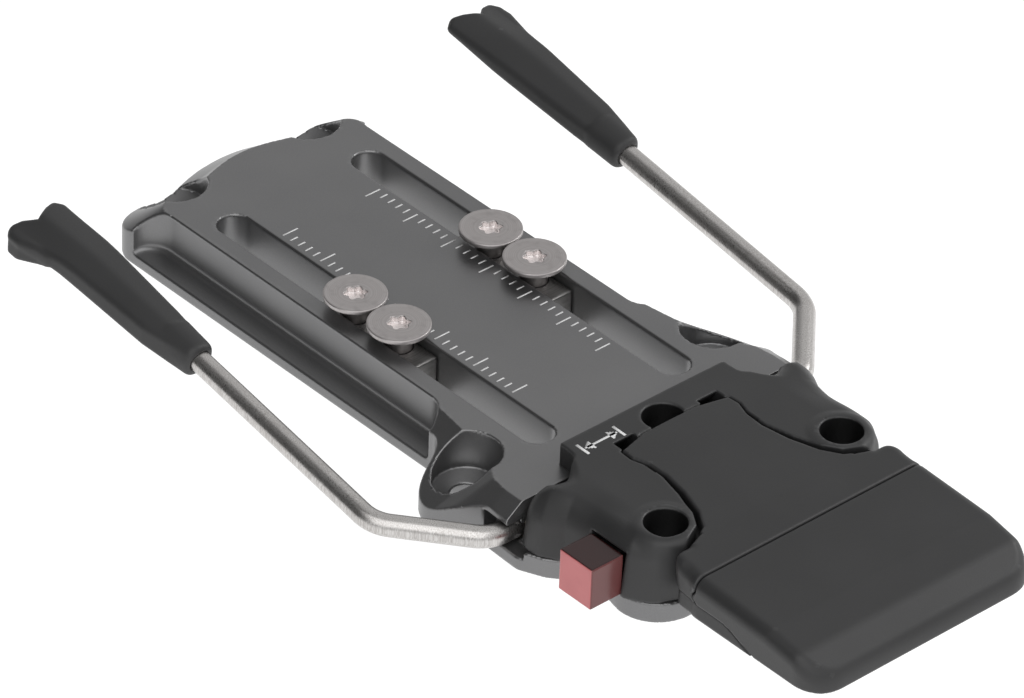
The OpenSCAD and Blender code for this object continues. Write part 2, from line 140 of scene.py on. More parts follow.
# %% [markdown]
# A mesh comes from a field in two steps. First the box around the piece is cut into small cells, and each
# cell that the surface crosses gets one corner point; four such points around each crossed edge make a
# face. Then every point slides along the field's slope onto the surface itself, so flats are truly flat
# and round walls are truly round, however coarse the cells were.

# %% From a field to a mesh
def crossed_cells(inside):
    corners = [inside[i:i + inside.shape[0] - 1, j:j + inside.shape[1] - 1, k:k + inside.shape[2] - 1]
               for i in (0, 1) for j in (0, 1) for k in (0, 1)]
    return np.logical_or.reduce(corners) & ~np.logical_and.reduce(corners)

def faces_of(inside, number):
    faces = []
    for axis in range(3):
        a, b = (axis + 1) % 3, (axis + 2) % 3
        grid = np.moveaxis(inside, (axis, a, b), (0, 1, 2))
        cells = np.moveaxis(number, (axis, a, b), (0, 1, 2))
        change = grid[:-1, 1:-1, 1:-1] != grid[1:, 1:-1, 1:-1]
        i, j, k = np.nonzero(change)
        quad = np.stack([cells[i, j, k], cells[i, j + 1, k], cells[i, j + 1, k + 1], cells[i, j, k + 1]],
                        axis=1)
        outward = grid[:-1, 1:-1, 1:-1][i, j, k]
        quad[~outward] = quad[~outward][:, ::-1]
        faces.append(quad)
    return np.concatenate(faces)

def slide(field, points, step):
    for _ in range(3):
        x, y, z = points.T
        here = field(x, y, z)
        h = 0.02
        slope = np.stack([field(x + h, y, z) - field(x - h, y, z), field(x, y + h, z) - field(x, y - h, z),
                          field(x, y, z + h) - field(x, y, z - h)], axis=1) / (2 * h)
        size = np.maximum((slope ** 2).sum(axis=1, keepdims=True), 0.1)
        points = points + np.clip(-here[:, None] * slope / size, -step, step)
    return points

def carve(field, low, high, step):
    axes = [np.arange(a - 1.5 * step, b + 2.5 * step, step) for a, b in zip(low, high)]
    values = field(axes[0][:, None, None], axes[1][None, :, None], axes[2][None, None, :])
    inside = np.broadcast_to(values, tuple(len(a) for a in axes)) < 0
    crossed = crossed_cells(inside)
    number = np.full(crossed.shape, -1, dtype=np.int64)
    number[crossed] = np.arange(crossed.sum())
    cell = np.nonzero(crossed)
    points = np.stack([axes[n][cell[n]] + step / 2 for n in range(3)], axis=1)
    return slide(field, points, step), faces_of(inside, number)

# %% [markdown]
# Every piece is added the same way: its mesh goes into the scene in metres, it takes a finish, it rides on a
# body of the frame, and it stands for the CAD nodes that it replaces. A piece with a left and a right
# is made once and mirrored.

# %% Adding a piece
def add_piece(name, points, faces, finish, body, slot, nodes=()):
    mesh = bpy.data.meshes.new(name)
    if isinstance(faces, np.ndarray):
        faces = faces.tolist()
    mesh.from_pydata((np.asarray(points) * MM).tolist(), [], faces)
    mesh.polygons.foreach_set("use_smooth", np.ones(len(mesh.polygons), dtype=bool))
    mesh.validate()
    mesh.materials.append(finish)
    piece = bpy.data.objects.new(name, mesh)
    bpy.context.scene.collection.objects.link(piece)
    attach(piece, body)
    if nodes:
        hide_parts(*nodes)
    print(f"{name}: {len(mesh.vertices)} points, {len(mesh.polygons)} faces")

def mirrored(points, faces):
    return np.asarray(points) * (1, -1, 1), np.asarray(faces)[:, ::-1]

# %% [markdown]
# ## Finishes
# Shader maths reads as sums: `Term` wraps the output of a shader node, and adding, subtracting,
# multiplying or comparing terms adds the Math nodes behind them. Anything that isn't arithmetic comes
# from `Finish.node`, with the node's settings first and then the values or links of its sockets.

# %% Terms
class Term:
    def __init__(self, finish, socket):
        self.finish, self.socket = finish, socket
    def math(self, operation, other, swapped=False):
        first, second = (other, self) if swapped else (self, other)
        return self.finish.node("ShaderNodeMath", {"operation": operation}, {0: first, 1: second})
    def __add__(self, other): return self.math("ADD", other)
    def __radd__(self, other): return self.math("ADD", other, True)
    def __sub__(self, other): return self.math("SUBTRACT", other)
    def __rsub__(self, other): return self.math("SUBTRACT", other, True)
    def __mul__(self, other): return self.math("MULTIPLY", other)
    def __rmul__(self, other): return self.math("MULTIPLY", other, True)
    def __pow__(self, other): return self.math("POWER", other)
    def __lt__(self, other): return self.math("LESS_THAN", other)
    def absolute(self): return self.finish.node("ShaderNodeMath", {"operation": "ABSOLUTE"}, {0: self})

# %% Finishes
class Finish:
    def __init__(self, name, **fixed):
        self.material = bpy.data.materials.new(name)
        self.material.use_nodes = True
        self.tree = self.material.node_tree
        self.surface = self.tree.nodes["Principled BSDF"]
        for socket, value in fixed.items():
            self.surface.inputs[socket.replace("_", " ")].default_value = value
    def node(self, kind, settings={}, sockets={}, output=0):
        made = self.tree.nodes.new(kind)
        for key, value in settings.items():
            setattr(made, key, value)
        for key, value in sockets.items():
            self.feed(made.inputs[key], value)
        return Term(self, made.outputs[output])
    def feed(self, socket, value):
        if isinstance(value, Term):
            self.tree.links.new(value.socket, socket)
        else:
            socket.default_value = value
    def place(self):
        return self.node("ShaderNodeTexCoord", output="Object")
    def parts(self, vector):
        split = self.tree.nodes.new("ShaderNodeSeparateXYZ")
        self.feed(split.inputs[0], vector)
        return [Term(self, s) for s in split.outputs]
    def stretched(self, sizes):
        return self.node("ShaderNodeVectorMath", {"operation": "MULTIPLY"}, {0: self.place(), 1: sizes})
    def noise(self, scale, detail=2.0, roughness=0.5, vector=None):
        return self.node("ShaderNodeTexNoise", {}, {"Vector": vector or self.place(), "Scale": scale,
                                                    "Detail": detail, "Roughness": roughness})
    def between(self, mask, low, high):
        return self.node("ShaderNodeMapRange", {}, {"Value": mask, "From Min": low, "From Max": high})
    def blend(self, mask, first, second):
        first, second = ((*c, 1) if isinstance(c, tuple) else c for c in (first, second))
        return self.node("ShaderNodeMix", {"data_type": "RGBA"}, {0: mask, 6: first, 7: second}, output=2)
    def edges(self):
        return self.between(self.node("ShaderNodeNewGeometry", output="Pointiness"), 0.505, 0.56)
    def dress_surface(self, colour, rough, height=None, strength=0.1, distance=0.00005):
        self.feed(self.surface.inputs["Base Color"], colour)
        self.feed(self.surface.inputs["Roughness"], rough)
        if height is not None:
            sizes = {"Height": height, "Strength": strength, "Distance": distance}
            self.feed(self.surface.inputs["Normal"], self.node("ShaderNodeBump", {}, sizes))
        return self.material

# %% [markdown]
# ### Dark anodised aluminium
# The plate is milled, blasted with fine glass beads and anodised dark grey. Blasting leaves a skin of tiny
# dents that blurs every reflection; the dye layer is a little uneven, and paler where an edge was
# rubbed. So: a metal with a middling roughness, fine grain in the bump, slow clouds in the colour, and
# brighter edges.

# %% Anodised plate
plate_finish = Finish("anodised_plate", Metallic=0.85)
grain = plate_finish.noise(5200, 3.0, 0.6)
clouds = plate_finish.noise(42, 3.0)
rubbed = plate_finish.edges() * plate_finish.between(plate_finish.noise(900, 2.0), 0.35, 0.6)
cloudy = plate_finish.between(clouds, 0.3, 0.7)
tone = plate_finish.blend(cloudy, (0.182, 0.182, 0.185), (0.205, 0.204, 0.206))
tone = plate_finish.blend(plate_finish.between(grain, 0.38, 0.68) * 0.35, tone, (0.25, 0.25, 0.25))
tone = plate_finish.blend(rubbed * 0.06, tone, (0.42, 0.42, 0.42))
ANODISED = plate_finish.dress_surface(tone, 0.3 + 0.1 * grain - 0.05 * rubbed, grain, 0.1, 0.00004)

# %% [markdown]
# ### Moulded black plastic
# The housing, the pedal and the paddles are glass-filled nylon from a spark-eroded mould. The mould's
# fine texture makes the surface dull, and corners that boots and ski edges rub turn a little shiny. The screw
# holes are painted much darker inside: painted shade, standing for the shade deep in them.

# %% Black plastic
def black_plastic(name, colour, dull, grain_size=3000, painted_shade_holes=()):
    finish = Finish(name, IOR=1.5)
    fine = finish.noise(grain_size, 4.0, 0.65)
    slow = finish.noise(60, 2.0)
    worn = finish.edges()
    shade = finish.blend(finish.between(slow, 0.3, 0.7), colour, tuple(c * 1.25 for c in colour))
    shade = finish.blend(worn * 0.35, shade, tuple(c * 2.6 for c in colour))
    x, y, z = finish.parts(finish.place())
    for cx, cy, radius in painted_shade_holes:
        # Painted shade: inside each listed screw hole the colour is painted much darker, for the shade deep
        # in it.
        inside = ((x - cx) * (x - cx) + (y.absolute() - cy) * (y.absolute() - cy)) < radius * radius
        shade = finish.blend(inside, shade, tuple(c * 0.15 for c in colour))
    return finish.dress_surface(shade, dull + 0.14 * fine - 0.1 * worn, fine, 0.25, 0.00006)

# The last two entries place the painted shade in the housing's screw holes.
BLACK = black_plastic("housing_nylon", (0.0205, 0.0205, 0.021), 0.42, 3000,
                      ((0.0778, 0.0201, 0.0038), (0.0555, 0.0, 0.0038)))
BLACK_PEDAL = black_plastic("pedal_nylon", (0.0205, 0.0205, 0.021), 0.42)
BLACK_PADDLE = black_plastic("paddle_nylon", (0.022, 0.022, 0.0225), 0.5, 2400)
BLACK_FRAME = black_plastic("carrier_nylon", (0.016, 0.016, 0.0165), 0.4)

# %% [markdown]
# ### Steels
# The arms are stainless wire, ground round in a centreless grinder, which leaves fine rings across the
# wire. The clamp screws' heads were faced on a lathe, which leaves rings round each head's centre. Both are
# a metal whose roughness and bump follow those rings.

# %% Ground wire
wire_finish = Finish("ground_wire", Metallic=1.0)
rings = wire_finish.noise(1.0, 2.0, 0.6, wire_finish.stretched((5200.0, 5200.0, 260.0)))
patches = wire_finish.noise(260, 3.0, 0.6)
tone = wire_finish.blend(wire_finish.between(rings, 0.35, 0.65), (0.43, 0.41, 0.395), (0.66, 0.645, 0.63))
tone = wire_finish.blend(wire_finish.between(patches, 0.5, 0.75) * 0.25, tone, (0.36, 0.34, 0.325))
WIRE = wire_finish.dress_surface(tone, 0.2 + 0.14 * rings + 0.06 * patches, rings, 0.15, 0.00004)

# %% Turned screws
def turned_steel(name, light, dark, cx, cy):
    finish = Finish(name, Metallic=1.0)
    x, y, z = finish.parts(finish.place())
    across, along = x.absolute() - cx, y.absolute() - cy
    radius = (across * across + along * along) ** 0.5
    turned = finish.node("ShaderNodeCombineXYZ", {}, {0: radius * 5200.0, 1: 0.0, 2: z * 900.0})
    groove = finish.noise(1.0, 3.0, 0.6, turned)
    spots = finish.noise(420, 3.0, 0.6)
    tone = finish.blend(finish.between(groove, 0.35, 0.65), dark, light)
    tone = finish.blend(finish.between(spots, 0.52, 0.72) * 0.35, tone, tuple(c * 0.7 for c in dark))
    # Painted highlight: near the centre and below the head's top the colour is painted 1.7 times lighter, so
    # the socket looks lit inside.
    tone = finish.blend((radius < 0.0021) * (z < 0.01395), tone, tuple(c * 1.7 for c in light))
    return finish.dress_surface(tone, 0.34 + 0.14 * groove + 0.06 * spots, groove, 0.3, 0.00005)

SCREW = turned_steel("turned_screw", (0.5, 0.475, 0.47), (0.4, 0.375, 0.37), 0.0057, 0.01555)
BAR = turned_steel("milled_bar", (0.27, 0.265, 0.26), (0.21, 0.205, 0.2), 0.0, 0.01555)

# %% [markdown]
# ### Small parts and the red button
# The button is tinted, see-through plastic with a polished skin. Its side towards +X, which the housing
# shades, is painted darker as painted shade, and its upward faces are painted nearly black, a painted shade
# that stands for the black post seen through the top. Springs, pins, bushes and buffers get plain finishes of
# their own, each with a little grain.

# %% Small finishes
def plain_finish(name, colour, rough, metallic=0.0, scale=1500):
    finish = Finish(name, Metallic=metallic)
    fine = finish.noise(scale, 3.0)
    return finish.dress_surface(finish.blend(finish.between(fine, 0.3, 0.7), tuple(c * 0.85 for c in colour), colour),
                       rough + 0.15 * fine, fine, 0.15, 0.00004)

SPRING = plain_finish("spring_wire", (0.42, 0.41, 0.4), 0.3, 1.0)
PIN = plain_finish("zinc_steel", (0.52, 0.51, 0.5), 0.3, 1.0)
BUSH = plain_finish("bush_polymer", (0.62, 0.58, 0.5), 0.4)
RUBBER = plain_finish("buffer_rubber", (0.03, 0.03, 0.03), 0.65)
MARK = plain_finish("etched_mark", (0.86, 0.86, 0.86), 0.5, 0.0, 5000)

red_finish = Finish("red_polymer", IOR=1.45, Transmission_Weight=0.12)
flow = red_finish.noise(160, 3.0)
nx, ny, nz = red_finish.parts(red_finish.node("ShaderNodeNewGeometry", output="Normal"))
tint_and_painted_shade = red_finish.blend(red_finish.between(flow, 0.3, 0.7), (0.56, 0.165, 0.17), (0.62, 0.19, 0.195))
# Painted shade: faces turned towards +X are painted darker, and faces turned up are painted nearly black.
tint_and_painted_shade = red_finish.blend(red_finish.between(nx, 0.3, 0.8), tint_and_painted_shade, (0.16, 0.052, 0.051))
tint_and_painted_shade = red_finish.blend(red_finish.between(nz, 0.5, 0.9), tint_and_painted_shade, (0.03, 0.008, 0.008))
RED = red_finish.dress_surface(tint_and_painted_shade, 0.12 + 0.08 * flow, red_finish.noise(2500, 2.0), 0.05, 0.00003)
print("finishes:", len(bpy.data.materials))

# %% [markdown]
# ## Base plate
# On the real object this is one piece of aluminium: a raised top with two through slots, a ledge left along
# each side where the wall is cut away, ears and a sloped rear end that carry the ski screws, and a thin foot
# that runs under the brake. Two plans give it: one of the whole outline, one of the top. Outside the top's
# plan the height falls evenly, which makes the slopes. Then it's cut the way it's milled: the sides, the
# screw seats, the slots and the holes.

# %% Plans of the plate
FOOT_H, PLATE_H, FALL = 3.8, 11.0, 0.74
FOOT = [(37.8, -30), (37.8, 32.6), (44, 31.8), (48.6, 30.6), (56.3, 30.9), (60, 29.2), (63, 26.7),
        (66.5, 25.2), (76, 24), (81.2, 20), (81.2, -30)]
SPREAD = [(22, -30), (25.5, 20.6), (33.6, 22.7), (44.2, 26.3), (47, 28), (50.2, 28.5), (60, 28.5), (60, -30)]

def housing_plan(x, y):
    block = outline(x, y, [(50.8, -30), (50.8, 18.2), (80, 18.2), (80, -30)], 0.8)
    wing = outline(x, y, [(57.9, -30), (57.9, 28.9), (59, 28.9), (62.6, 26.7), (67, 26.1), (76.6, 25.6),
                          (79.4, 23.8), (80.4, 21), (80.4, -30)], 3.5)
    body = either(block, wing, 1.0)
    return without(body, disc(x, y, 51.3, 23.4, 4.3), 1.0)

def flange_plan(x, y):
    plan = outline(x, y, [(-52.8, -40), (-52.8, 21.3), (50, 21.3), (50, -40)], 5.7)
    plan = either(plan, disc(x, y, -43.2, 0, 15.9), 5.0)
    plan = either(plan, disc(x, y, 38.3, 28.9, 7.3), 4.0)
    foot = either(outline(x, y, FOOT, 3.0), disc(x, y, 76.6, 20.4, 7.9), 0.8)
    return np.maximum(either(plan, foot, 4.0), -59.8 - x)

def top_plan(x, y):
    plan = outline(x, y, [(-48, -40), (-48, 19.5), (60, 19.5), (60, -40)], 3.0)
    plan = either(plan, disc(x, y, -38, 0, 16.2), 4.0)
    return either(plan, outline(x, y, SPREAD, 2.0), 4.0)

# %% The milled plate
AXIS_X, AXIS_Z = 52.36, 4.9

def rod_field(x, y, z, y0, y1, radius):
    return both(np.hypot(x - AXIS_X, z - AXIS_Z) - radius, between(y, y0, y1))

def plate_field(x, y, z):
    y = np.abs(y)
    fall = np.maximum(top_plan(x, y), 0) * FALL
    height = np.where(x < 54.2, PLATE_H - fall, FOOT_H)
    solid = both(flange_plan(x, y), (z - height) * 0.8, 0.2)
    solid = without(solid, np.maximum(housing_plan(x, y) + 0.25, FOOT_H - z))
    past_end = np.where(x < 0, np.minimum(x + 46, 0) * 0.75, np.maximum(x - 22, 0))
    side_cut = both(np.hypot(past_end, y - 27) - 4.5, 3.1 - 0.22 * (y - 22.5) - z, 0.9)
    solid = without(solid, side_cut, 0.2)
    for cx, cy, floor_z in ((37.8, 28.2, 2.2), (-54.6, 15.4, 4.5)):
        r = np.hypot(x - cx, y - cy)
        solid = without(solid, np.maximum(r - 6.0, floor_z + 0.35 * (r - 2.8) - z), 0.12)
        solid = without(solid, r - 2.8, 0.15)
    slot = long_hole(x, y, -37.8, 41.1, 15.55, 6.3)
    solid = without(solid, slot, 0.3)
    solid = without(solid, np.maximum(long_hole(x, y, -37.8, 41.1, 15.55, 10.4), z - 2.8), 0.2)
    arm_notch = np.maximum(np.maximum(between(x, 48.2, 57.9), 30.6 - y), between(z, 2.5, 7.4))
    solid = without(solid, arm_notch, 0.3)
    solid = without(solid, both(disc(x, y, 77.8, 20.1, 2.8), z - 8))
    solid = without(solid, disc(x, np.where(y < 4, y, 40.0), 55.5, 0, 2.8))
    for cx, cy in ((59, 17), (64.5, 24.3)):
        solid = without(solid, disc(x, y, cx, cy, 1.6 + np.clip(1.5 - z, 0, 1.4) * 0.93))
    solid = without(solid, rod_field(x, y, z, 6.6, 20.2, 4.2))
    solid = without(solid, rod_field(x, y, z, 20.4, 29.0, 3.0))
    solid = without(solid, rod_field(x, y, z, 20.1, 34.0, 2.4))
    solid = without(solid, np.maximum(np.maximum(between(x, AXIS_X, 68.36), between(y, 7.1, 11.9)), 2.6 - z))
    return both(solid, -z, 0.25)

plate_points, plate_faces = carve(plate_field, (-61, -37, 0), (85, 37, 11), 0.36)
add_piece("plate_body", plate_points, plate_faces, ANODISED, "base", "anodised_aluminium", ["base_plate"])

# %% [markdown]
# ## Brake housing
# A nylon moulding that bridges the plate's front end. Its top is flat round the pedal's tongue; the
# shoulders over the arms and the bosses round the screw holes stay high, and the side sinks between
# them. The walls lean in by a few degrees so that it comes out of its mould, and the outer edges are well
# rounded. The pocket follows the tongue with a seam that opens towards the front, and a slot on each side
# lets the pedal's hub swing up.

# %% Tongue plan and housing
TONGUE = [(56.4, -30), (56.9, 6), (58.4, 12.1), (61, 12.3), (64, 11.3), (68, 11.1), (73.5, 12), (79, 13.8),
          (82.4, 16), (84.6, 20.5), (90, 20.5), (90, -30)]

def tongue_plan(x, y, grow=0.0):
    return outline(x, y, TONGUE, grow)

def housing_field(x, y, z):
    side = np.abs(y)
    plan = housing_plan(x, side)
    outer = ramp(side, 18.5, 24)
    top = 15.3 - 2.0 * ramp(side, 27, 32.4) - 1.0 * np.exp(-((x - 67) / 5) ** 2) * ramp(side, 21, 28)
    body = both(plan + 0.11 * (z - 3.8) * outer, z - top, 0.5 + 3.2 * outer)
    boss = both(disc(x, side, 77.8, 20.1, 5.6), z - 15.3, 1.3)
    body = either(body, boss, 1.2)
    nose = 10.95 - np.hypot(x - AXIS_X, z - AXIS_Z)
    pocket = np.maximum(tongue_plan(x, side, 0.25 + 0.75 * ramp(x, 62, 76)), np.maximum(11.9 - z, nose))
    body = without(body, pocket, 0.25)
    body = without(body, np.maximum(np.maximum(58.5 - x, side - 11.1), -z), 0.3)
    body = without(body, rod_field(x, side, z, 6.6, 20.2, 4.2))
    body = without(body, rod_field(x, side, z, 14.0, 34.0, 2.4))
    body = without(body, rod_field(x, side, z, 19.2, 29.2, 3.1))
    swing = outline(x - AXIS_X, z - AXIS_Z, [(-4.2, -3), (-2.2, 1.2), (3.7, 10.42), (14, 10.42), (14, -3)])
    body = without(body, np.maximum(swing, between(side, 7.2, 11.8)))
    for cx, cy in ((77.8, 20.1), (55.5, 0.0)):
        body = without(body, both(disc(x, side, cx, cy, 3.75), 7 - z), 0.45)
        body = without(body, disc(x, side, cx, cy, 2.8))
    button = np.maximum(np.maximum(between(x, 68.6, 76.9), between(y, -34, -23.7)), between(z, 0, 12.3))
    body = without(body, button, 0.3)
    channel = np.maximum(np.maximum(between(x, 69.05, 73.65), between(y, -34, 0)), between(z, 5.9, 10.1))
    body = without(body, channel)
    return both(body, 3.82 - z, 0.25)

housing_points, housing_faces = carve(housing_field, (49.8, -32.8, 3.8), (83.8, 32.8, 15.6), 0.3)
add_piece("housing_shell", housing_points, housing_faces, BLACK, "base", "black_plastic", ["brake_housing"])

# %% [markdown]
# ## Pedal
# Cover and pad are two mouldings on one carrier. Seen from the side the pedal is flat, dips slightly at
# the seam and droops at its front edge. The side view is an outline in X and Z; the plan
# rounds its corners, and where the two meet a broad rounded crease runs along each side.

# %% Cover and pad
PROFILE = [(50, -10), (50, 10.5), (84, 10.4), (91.4, 9.3), (107.6, 8.6), (113.2, 7.6), (116.3, 5.6),
           (116.5, -10)]

def pedal_plan(x, y):
    side = np.abs(y)
    front = outline(x, side, [(92, -30), (92, 19.2), (114.5, 19.2), (114.5, -30)], 7.0)
    wing = outline(x, side, [(87.4, -30), (87.4, 22.8), (94, 23.4), (104, 23.4), (104, -30)], 2.8)
    return either(tongue_plan(x, side), np.minimum(front, wing), 0.8)

def pad_hem(x):
    return 9.15 - 3.4 * ramp(x, 97, 107)

def pedal_skin(x, y, z):
    crease = 0.5 + 2.0 * ramp(x, 82, 89)
    skin = both(outline(x, z, PROFILE, 5.0), pedal_plan(x, y) + 0.13 * np.maximum(13 - z, 0), crease)
    return both(skin, 6.0 - z, 0.3)

def seam(x, z):
    return x - 91.4 + 1.1 * ramp(-z, -12.2, -10.2) - 1.6 * ramp(-z, -10.4, -8.6)

def cover_field(x, y, z):
    side = np.abs(y)
    cover = both(pedal_skin(x, y, z), seam(x, z) + 0.12, 0.35)
    turn = np.hypot(x - AXIS_X, z - AXIS_Z)
    cover = without(cover, turn - 11.1, 0.15)
    cover = without(cover, np.maximum(turn - 32.9, 17.5 - side), 0.4)
    cover = without(cover, np.maximum(x - 84.6, z - 12.3), 0.2)
    return both(cover, 9.15 - z, 0.2)

def pad_field(x, y, z):
    pad = both(pedal_skin(x, y, z), 0.12 - seam(x, z), 0.35)
    pad = without(pad, z - pad_hem(x), 0.12)
    return without(pad, np.maximum(pedal_plan(x, y) + 3.0, z - 9.15), 0.2)

cover = carve(cover_field, (55.5, -26.7, 9), (92.5, 26.7, 15.6), 0.3)
pad = carve(pad_field, (89.5, -26.7, 5.9), (121.8, 26.7, 15), 0.3)
add_piece("pedal_tongue", *cover, BLACK_PEDAL, "brake", "black_plastic", ["pedal_cover"])
add_piece("heel_pad", *pad, BLACK_PEDAL, "brake", "black_plastic", ["pedal_pad"])

# %% [markdown]
# The carrier is the pedal's frame. Its edge shows under the cover, and from below it's the largest face, so
# it gets what such a moulding has: a box between the housing's walls with hubs on the arms' axis, and
# shallow pockets with ribs between them that keep the wall thickness even.

# %% Carrier
def box_field(x, y, z, x0, x1, y0, y1, z0, z1, radius):
    return both(both(between(x, x0, x1), between(y, y0, y1), radius), between(z, z0, z1), radius)

def carrier_field(x, y, z):
    side = np.abs(y)
    plan = pedal_plan(x, y)
    skirt = both(np.maximum(plan + 0.7, 85.4 - x), np.maximum(z - pad_hem(x) + 0.05, 6.1 - z), 0.12)
    tray = both(np.maximum(plan + 3.1, 85.4 - x), between(z, 6.1, 9.1), 0.3)
    frame_plate = np.minimum(skirt, tray)
    middle = box_field(x, side, z, 64, 84.4, -40, 10.5, 5.6, 12.2, 0.4)
    bridge = box_field(x, side, z, 82, 88, -40, 10.5, 5.6, 9.1, 0.2)
    body = either(either(middle, frame_plate, 0.2), bridge, 0.2)
    hub = both(np.hypot(x - AXIS_X, z - AXIS_Z) - 3.9, between(side, 7.5, 11.5), 0.3)
    web = box_field(x, side, z, AXIS_X, 66, 7.5, 11.5, AXIS_Z - 2, AXIS_Z + 2, 0.3)
    body = either(body, either(hub, web, 0.3), 0.3)
    for x0, x1 in ((90.5, 97.2), (98.6, 105.3), (110.5, 116.6)):
        for y0, y1 in ((-30, 5.8), (7.2, 12.2), (17.8, 21.8)):
            body = without(body, box_field(x, side, z, x0, x1, y0, y1, 0, 7.4, 0.6), 0.2)
    for cx in (88.0, 108.0):
        body = without(body, both(disc(x, side, cx, 15, 2.3), z - 7.6), 0.2)
    body = without(body, box_field(x, side, z, 66, 75.2, -40, 8, 0, 10.3, 0.4), 0.2)
    body = without(body, box_field(x, side, z, 68.9, 73.8, 5, 12, 5.75, 10.25, 0.1), 0.2)
    return without(body, np.hypot(x - AXIS_X, z - AXIS_Z) - 2.01)

carrier = carve(carrier_field, (48, -26.4, 0.8), (119, 26.4, 12.4), 0.35)
add_piece("pedal_frame", *carrier, BLACK_FRAME, "brake", "black_carrier", ["pedal_carrier"])

# %% [markdown]
# ## Arms and springs
# Wire is drawn as a tube along a path. The arm runs across the plate, turns out beside the ski,
# turns back and climbs gently to its paddle; each bend is an arc. The tube's rings are carried along the
# path without twisting, and its two ends are closed.

# %% Tubes
def rounded_path(corners, radius, steps=14):
    corners = [np.array(c, dtype=float) for c in corners]
    path = [corners[0]]
    for a, b, c in zip(corners, corners[1:], corners[2:]):
        u, w = (b - a) / np.linalg.norm(b - a), (c - b) / np.linalg.norm(c - b)
        turn = math.acos(float(np.clip(u @ w, -1, 1)))
        inset = radius * math.tan(turn / 2)
        n = (w - u * (u @ w)) / np.linalg.norm(w - u * (u @ w))
        centre = b - u * inset + n * radius
        path += [centre + radius * (u * math.sin(t) - n * math.cos(t)) for t in np.linspace(0, turn, steps)]
    return np.array(path + [corners[-1]])

def tube(path, radius, sides=40):
    path = np.asarray(path, dtype=float)
    ahead = np.gradient(path, axis=0)
    ahead /= np.linalg.norm(ahead, axis=1, keepdims=True)
    side = np.cross(ahead[0], (0.0, 0.0, 1.0) if abs(ahead[0][2]) < 0.9 else (1.0, 0.0, 0.0))
    ring = np.linspace(0, 2 * math.pi, sides, endpoint=False)
    points = []
    shrink = [0.86] + [1.0] * len(path) + [0.86]
    stations = [(path[0], ahead[0]), (path[0] + ahead[0] * 0.3, ahead[0]), *zip(path[1:-1], ahead[1:-1]),
                (path[-1] - ahead[-1] * 0.3, ahead[-1]), (path[-1], ahead[-1])]
    for (centre, along), scale in zip(stations, shrink):
        side = side - along * (side @ along)
        side /= np.linalg.norm(side)
        other = np.cross(along, side)
        points += [centre + radius * scale * (side * math.cos(t) + other * math.sin(t)) for t in ring]
    rows = len(stations)
    faces = [tuple((r + up) * sides + (k + on) % sides for up, on in ((0, 0), (0, 1), (1, 1), (1, 0)))
             for r in range(rows - 1) for k in range(sides)]
    faces += [tuple(range(sides - 1, -1, -1)), tuple(range((rows - 1) * sides, rows * sides))]
    return np.array(points), faces

# %% The two arms
SLOPE = math.tan(math.radians(9.56))
ELBOW = (38.4, -49.6, 6.43)
TAIL = (-40.0, -48.7, 6.43 + 78.4 * SLOPE)
arm_path = rounded_path([(AXIS_X, -6.8, AXIS_Z), (AXIS_X, -35.9, AXIS_Z), ELBOW, TAIL], 7.0)
arm_path = np.concatenate([arm_path[:1], np.linspace(arm_path[0], arm_path[1], 12)[1:-1], arm_path[1:-1],
                           np.linspace(arm_path[-2], arm_path[-1], 40)[1:]])
for side, flip in (("right", 1), ("left", -1)):
    points, faces = tube(arm_path * (1, flip, 1), 2.0)
    add_piece(f"wire_arm_{side}", points, faces, WIRE, "brake", "stainless_wire", [f"arm_{side}"])

# %% [markdown]
# The springs sit round the arms in the plate's cavity, out of sight until it's taken apart. Each is a
# helix of thin wire.

# %% Springs
def helix(centre, axis_y, mean, pitch, turns, steps=28):
    t = np.linspace(0, turns, int(turns * steps) + 1)
    a = 2 * math.pi * t
    one, two = mean * np.cos(a), mean * np.sin(a)
    turns_at = [one, axis_y * pitch * t, two] if axis_y else [one, two, pitch * t]
    return np.stack([middle + v for middle, v in zip(centre, turns_at)], axis=1)

for side, flip in (("left", 1), ("right", -1)):
    points, faces = tube(helix((AXIS_X, 13.0 * flip, AXIS_Z), flip, 3.25, 1.45, 4), 0.5, 12)
    add_piece(f"arm_spring_{side}", points, faces, SPRING, "base", "spring_steel", [f"torsion_spring_{side}"])
points, faces = tube(helix((71.35, -17.0, 11.75), 0, 0.85, 0.7, 3), 0.18, 8)
add_piece("pad_spring", points, faces, SPRING, "base", "spring_steel", ["lock_pad_spring"])

# %% [markdown]
# ## Paddles
# Moulded over the wire's ends, the paddles dig into the snow. Each is a blade with a flat back, thick
# over the wire and thin at its edges; it swells towards the tip, which has two lobes with a notch
# between them, and the outer edge grows down into a claw. The field is written in the blade's own frame, with
# x along the wire, and its points are then turned into place.

# %% Paddle
BLADE = [(1.2, -1.3), (1.2, 1.2), (4.5, 2.2), (10, 3.4), (31, 4.8), (36.2, 5.6), (39.8, 6.7), (41.9, 6.65),
         (42.7, 6.0), (42.4, 4.9), (40.3, 2.4), (42.3, -1.2), (42.8, -2.6), (42.2, -3.4), (31, -3.3),
         (10, -2.2), (4.5, -1.6)]
CLAW = [(34, 0), (34, -1.2), (40.4, -2.9), (42.0, -2.9), (42.9, -0.4), (36, 0.4)]

def paddle_field(x, y, z):
    plan = outline(x, y, BLADE, 1.3)
    centre = 0.9 + 0.01 * x
    half = 2.95 - 0.7 * ramp(x, 26, 44)
    z = z + 1.1 * ramp(x, 26, 45) * (0.35 + 0.65 * ramp(y, -3, 6))
    slope = np.sqrt((y - centre) ** 2 + 0.6) - 0.77
    roof = (np.abs(z) - half + 0.27 * slope) * 0.95
    collar = np.hypot(y, z) - 2.85
    body = both(plan, roof, 1.0)
    body = either(body, both(collar, between(x, 0, 7), 0.5), 1.2)
    claw = both(both(outline(x, z, CLAW, 0.8), plan, 0.7), 6.1 - y, 0.7)
    body = either(body, claw, 0.8)
    return without(body, np.maximum(np.hypot(y, z) - 2.02, x - 33), 0.25)

